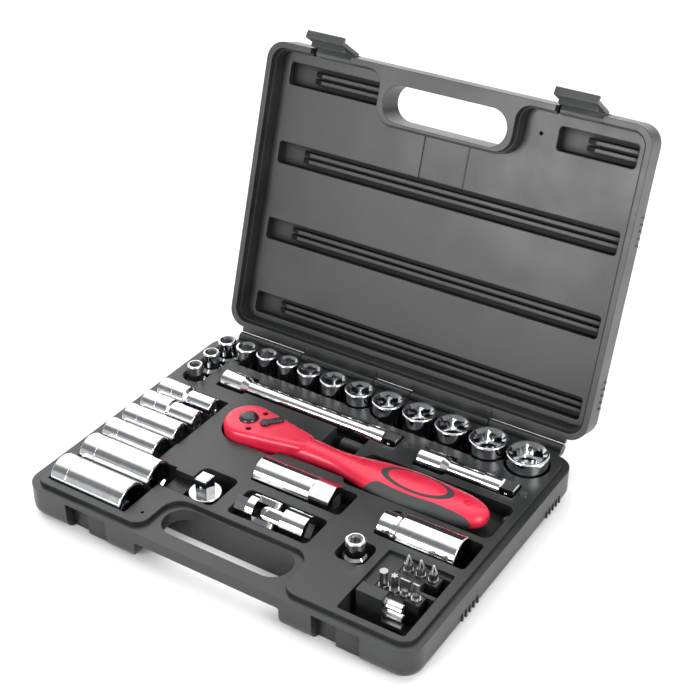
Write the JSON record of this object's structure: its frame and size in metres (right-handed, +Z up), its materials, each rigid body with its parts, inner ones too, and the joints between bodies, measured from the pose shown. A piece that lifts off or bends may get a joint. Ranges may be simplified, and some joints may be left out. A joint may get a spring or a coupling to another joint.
{
  "type": "socket wrench set in case",
  "caption": "Open moulded case with latches and a handle slot, holding a ratchet, sockets, extension bars, a universal joint, adapters and screwdriver bits in shaped pockets.",
  "frame": {"origin": "middle of the face that the case stands on", "axes": "+X to the right along the front edge, +Y from the handle edge to the hinge, +Z up"},
  "size_m": [0.31, 0.326, 0.2645],
  "materials": {
    "case": "moulded",
    "chrome": "polished",
    "steel": "satin",
    "red": "gloss",
    "grip": "matte",
    "black": "satin",
    "sleeve": "matte"
  },
  "bodies": {
    "case": {"case_base": "case", "tray_back": "case", "tray_left": "case", "tray_middle": "case", "tray_front": "case", "hinge_pin": "steel", "bit_rails": "black"},
    "lid": {"case_lid": "case", "lid_panel": "case", "latch_pins": "steel"},
    "left_latch": {"latch_left": "case"},
    "right_latch": {"latch_right": "case"},
    "socket_09": {"socket_09mm": "chrome"},
    "socket_10": {"socket_10mm": "chrome"},
    "socket_11": {"socket_11mm": "chrome"},
    "socket_12": {"socket_12mm": "chrome"},
    "socket_13": {"socket_13mm": "chrome"},
    "socket_14": {"socket_14mm": "chrome"},
    "socket_15": {"socket_15mm": "chrome"},
    "socket_16": {"socket_16mm": "chrome"},
    "socket_17": {"socket_17mm": "chrome"},
    "socket_19": {"socket_19mm": "chrome"},
    "socket_21": {"socket_21mm": "chrome"},
    "socket_06": {"socket_06mm": "chrome"},
    "socket_07": {"socket_07mm": "chrome"},
    "socket_08": {"socket_08mm": "chrome"},
    "deep_socket_08": {"deep_socket_08mm": "chrome"},
    "deep_socket_10": {"deep_socket_10mm": "chrome"},
    "deep_socket_12": {"deep_socket_12mm": "chrome"},
    "deep_socket_13": {"deep_socket_13mm": "chrome"},
    "deep_socket_17": {"deep_socket_17mm": "chrome"},
    "deep_socket_19": {"deep_socket_19mm": "chrome"},
    "spark_plug_socket_16": {"spark_plug_socket_16mm": "chrome", "spark_plug_sleeve_16mm": "sleeve"},
    "spark_plug_socket_21": {"spark_plug_socket_21mm": "chrome", "spark_plug_sleeve_21mm": "sleeve"},
    "long_bar": {"extension_bar_long": "chrome"},
    "short_bar": {"extension_bar_short": "chrome"},
    "adapter": {"drive_adapter": "chrome"},
    "bit_holder": {"bit_adapter": "chrome"},
    "joint_socket_end": {"universal_joint_socket_fork": "chrome"},
    "joint_cross": {"universal_joint_cross": "chrome"},
    "joint_stud_end": {"universal_joint_stud_fork": "chrome"},
    "bit_back_1": {"bit_back_1_cross": "steel"},
    "bit_back_2": {"bit_back_2_cross": "steel"},
    "bit_back_3": {"bit_back_3_cross": "steel"},
    "bit_middle_1": {"bit_middle_1_hex": "steel"},
    "bit_middle_2": {"bit_middle_2_star": "steel"},
    "bit_middle_3": {"bit_middle_3_slot": "steel"},
    "bit_middle_4": {"bit_middle_4_slot": "steel"},
    "front_rail": {"bit_rail_front": "black", "bits_front": "steel"},
    "ratchet": {"ratchet_handle": "red", "ratchet_grips": "grip", "ratchet_cover": "steel", "ratchet_screws": "steel"},
    "ratchet_gear": {"ratchet_drive_gear": "steel"},
    "ratchet_lever": {"ratchet_reversing_lever": "black"},
    "ratchet_pawl": {"ratchet_pawl": "steel"},
    "ratchet_button": {"ratchet_release_button": "black"}
  },
  "joints": [
    {"name": "lid_hinge", "type": "hinge", "parent": "case", "child": "lid", "pos_m": [0, 0.1212, 0.025], "axis": [-1, 0, 0], "range_deg": [-107.5, 0]},
    {"name": "left_latch_hinge", "type": "hinge", "parent": "lid", "child": "left_latch", "pos_m": [-0.1, 0.19916, 0.24232], "axis": [-1, 0, 0], "range_deg": [-20, 70]},
    {"name": "right_latch_hinge", "type": "hinge", "parent": "lid", "child": "right_latch", "pos_m": [0.1, 0.19916, 0.24232], "axis": [-1, 0, 0], "range_deg": [-20, 70]},
    {"name": "socket_09_lift", "type": "slide", "parent": "case", "child": "socket_09", "axis": [0, 0, 1], "range_m": [0, 0.06]},
    {"name": "socket_10_lift", "type": "slide", "parent": "case", "child": "socket_10", "axis": [0, 0, 1], "range_m": [0, 0.06]},
    {"name": "socket_11_lift", "type": "slide", "parent": "case", "child": "socket_11", "axis": [0, 0, 1], "range_m": [0, 0.06]},
    {"name": "socket_12_lift", "type": "slide", "parent": "case", "child": "socket_12", "axis": [0, 0, 1], "range_m": [0, 0.06]},
    {"name": "socket_13_lift", "type": "slide", "parent": "case", "child": "socket_13", "axis": [0, 0, 1], "range_m": [0, 0.06]},
    {"name": "socket_14_lift", "type": "slide", "parent": "case", "child": "socket_14", "axis": [0, 0, 1], "range_m": [0, 0.06]},
    {"name": "socket_15_lift", "type": "slide", "parent": "case", "child": "socket_15", "axis": [0, 0, 1], "range_m": [0, 0.06]},
    {"name": "socket_16_lift", "type": "slide", "parent": "case", "child": "socket_16", "axis": [0, 0, 1], "range_m": [0, 0.06]},
    {"name": "socket_17_lift", "type": "slide", "parent": "case", "child": "socket_17", "axis": [0, 0, 1], "range_m": [0, 0.06]},
    {"name": "socket_19_lift", "type": "slide", "parent": "case", "child": "socket_19", "axis": [0, 0, 1], "range_m": [0, 0.06]},
    {"name": "socket_21_lift", "type": "slide", "parent": "case", "child": "socket_21", "axis": [0, 0, 1], "range_m": [0, 0.06]},
    {"name": "socket_06_lift", "type": "slide", "parent": "case", "child": "socket_06", "axis": [0, 0, 1], "range_m": [0, 0.06]},
    {"name": "socket_07_lift", "type": "slide", "parent": "case", "child": "socket_07", "axis": [0, 0, 1], "range_m": [0, 0.06]},
    {"name": "socket_08_lift", "type": "slide", "parent": "case", "child": "socket_08", "axis": [0, 0, 1], "range_m": [0, 0.06]},
    {"name": "deep_socket_08_lift", "type": "slide", "parent": "case", "child": "deep_socket_08", "axis": [0, 0, 1], "range_m": [0, 0.06]},
    {"name": "deep_socket_10_lift", "type": "slide", "parent": "case", "child": "deep_socket_10", "axis": [0, 0, 1], "range_m": [0, 0.06]},
    {"name": "deep_socket_12_lift", "type": "slide", "parent": "case", "child": "deep_socket_12", "axis": [0, 0, 1], "range_m": [0, 0.06]},
    {"name": "deep_socket_13_lift", "type": "slide", "parent": "case", "child": "deep_socket_13", "axis": [0, 0, 1], "range_m": [0, 0.06]},
    {"name": "deep_socket_17_lift", "type": "slide", "parent": "case", "child": "deep_socket_17", "axis": [0, 0, 1], "range_m": [0, 0.06]},
    {"name": "deep_socket_19_lift", "type": "slide", "parent": "case", "child": "deep_socket_19", "axis": [0, 0, 1], "range_m": [0, 0.06]},
    {"name": "spark_plug_socket_16_lift", "type": "slide", "parent": "case", "child": "spark_plug_socket_16", "axis": [0, 0, 1], "range_m": [0, 0.06]},
    {"name": "spark_plug_socket_21_lift", "type": "slide", "parent": "case", "child": "spark_plug_socket_21", "axis": [0, 0, 1], "range_m": [0, 0.06]},
    {"name": "long_bar_lift", "type": "slide", "parent": "case", "child": "long_bar", "axis": [0, 0, 1], "range_m": [0, 0.06]},
    {"name": "short_bar_lift", "type": "slide", "parent": "case", "child": "short_bar", "axis": [0, 0, 1], "range_m": [0, 0.06]},
    {"name": "adapter_lift", "type": "slide", "parent": "case", "child": "adapter", "axis": [0, 0, 1], "range_m": [0, 0.06]},
    {"name": "bit_holder_lift", "type": "slide", "parent": "case", "child": "bit_holder", "axis": [0, 0, 1], "range_m": [0, 0.06]},
    {"name": "joint_socket_end_lift", "type": "slide", "parent": "case", "child": "joint_socket_end", "axis": [0, 0, 1], "range_m": [0, 0.06]},
    {"name": "universal_joint_first_pivot", "type": "hinge", "parent": "joint_socket_end", "child": "joint_cross", "pos_m": [0.011, -0.051, 0.0265], "axis": [0, 0.7071, -0.7071], "range_deg": [0, 22]},
    {"name": "universal_joint_second_pivot", "type": "hinge", "parent": "joint_cross", "child": "joint_stud_end", "pos_m": [0.011, -0.051, 0.0265], "axis": [0, 0.7071, 0.7071], "range_deg": [0, 22]},
    {"name": "bit_back_1_lift", "type": "slide", "parent": "case", "child": "bit_back_1", "axis": [0, 0, 1], "range_m": [0, 0.03]},
    {"name": "bit_back_2_lift", "type": "slide", "parent": "case", "child": "bit_back_2", "axis": [0, 0, 1], "range_m": [0, 0.03]},
    {"name": "bit_back_3_lift", "type": "slide", "parent": "case", "child": "bit_back_3", "axis": [0, 0, 1], "range_m": [0, 0.03]},
    {"name": "bit_middle_1_lift", "type": "slide", "parent": "case", "child": "bit_middle_1", "axis": [0, 0, 1], "range_m": [0, 0.03]},
    {"name": "bit_middle_2_lift", "type": "slide", "parent": "case", "child": "bit_middle_2", "axis": [0, 0, 1], "range_m": [0, 0.03]},
    {"name": "bit_middle_3_lift", "type": "slide", "parent": "case", "child": "bit_middle_3", "axis": [0, 0, 1], "range_m": [0, 0.03]},
    {"name": "bit_middle_4_lift", "type": "slide", "parent": "case", "child": "bit_middle_4", "axis": [0, 0, 1], "range_m": [0, 0.03]},
    {"name": "front_rail_lift", "type": "slide", "parent": "case", "child": "front_rail", "axis": [0, 0, 1], "range_m": [0, 0.06]},
    {"name": "ratchet_lift", "type": "slide", "parent": "case", "child": "ratchet", "axis": [0, 0, 1], "range_m": [0, 0.06]},
    {"name": "ratchet_gear_spin", "type": "hinge", "parent": "ratchet", "child": "ratchet_gear", "pos_m": [-0.06, 0.0205, 0.0275], "axis": [0, 0, 1], "continuous": true},
    {"name": "reversing_lever_swing", "type": "hinge", "parent": "ratchet", "child": "ratchet_lever", "pos_m": [-0.046, 0.0205, 0.0275], "axis": [0, 0, 1], "range_deg": [-100, 0]},
    {"name": "pawl_rock", "type": "hinge", "parent": "ratchet", "child": "ratchet_pawl", "pos_m": [-0.046, 0.0205, 0.0275], "axis": [0, 0, 1], "range_deg": [-24, 0]},
    {"name": "release_button_press", "type": "slide", "parent": "ratchet", "child": "ratchet_button", "axis": [0, 0, -1], "range_m": [0, 0.002], "stiffness_N_per_m": 800}
  ],
  "couplings": [
    {"joint": "pawl_rock", "follows": "reversing_lever_swing", "ratio": 0.24}
  ]
}
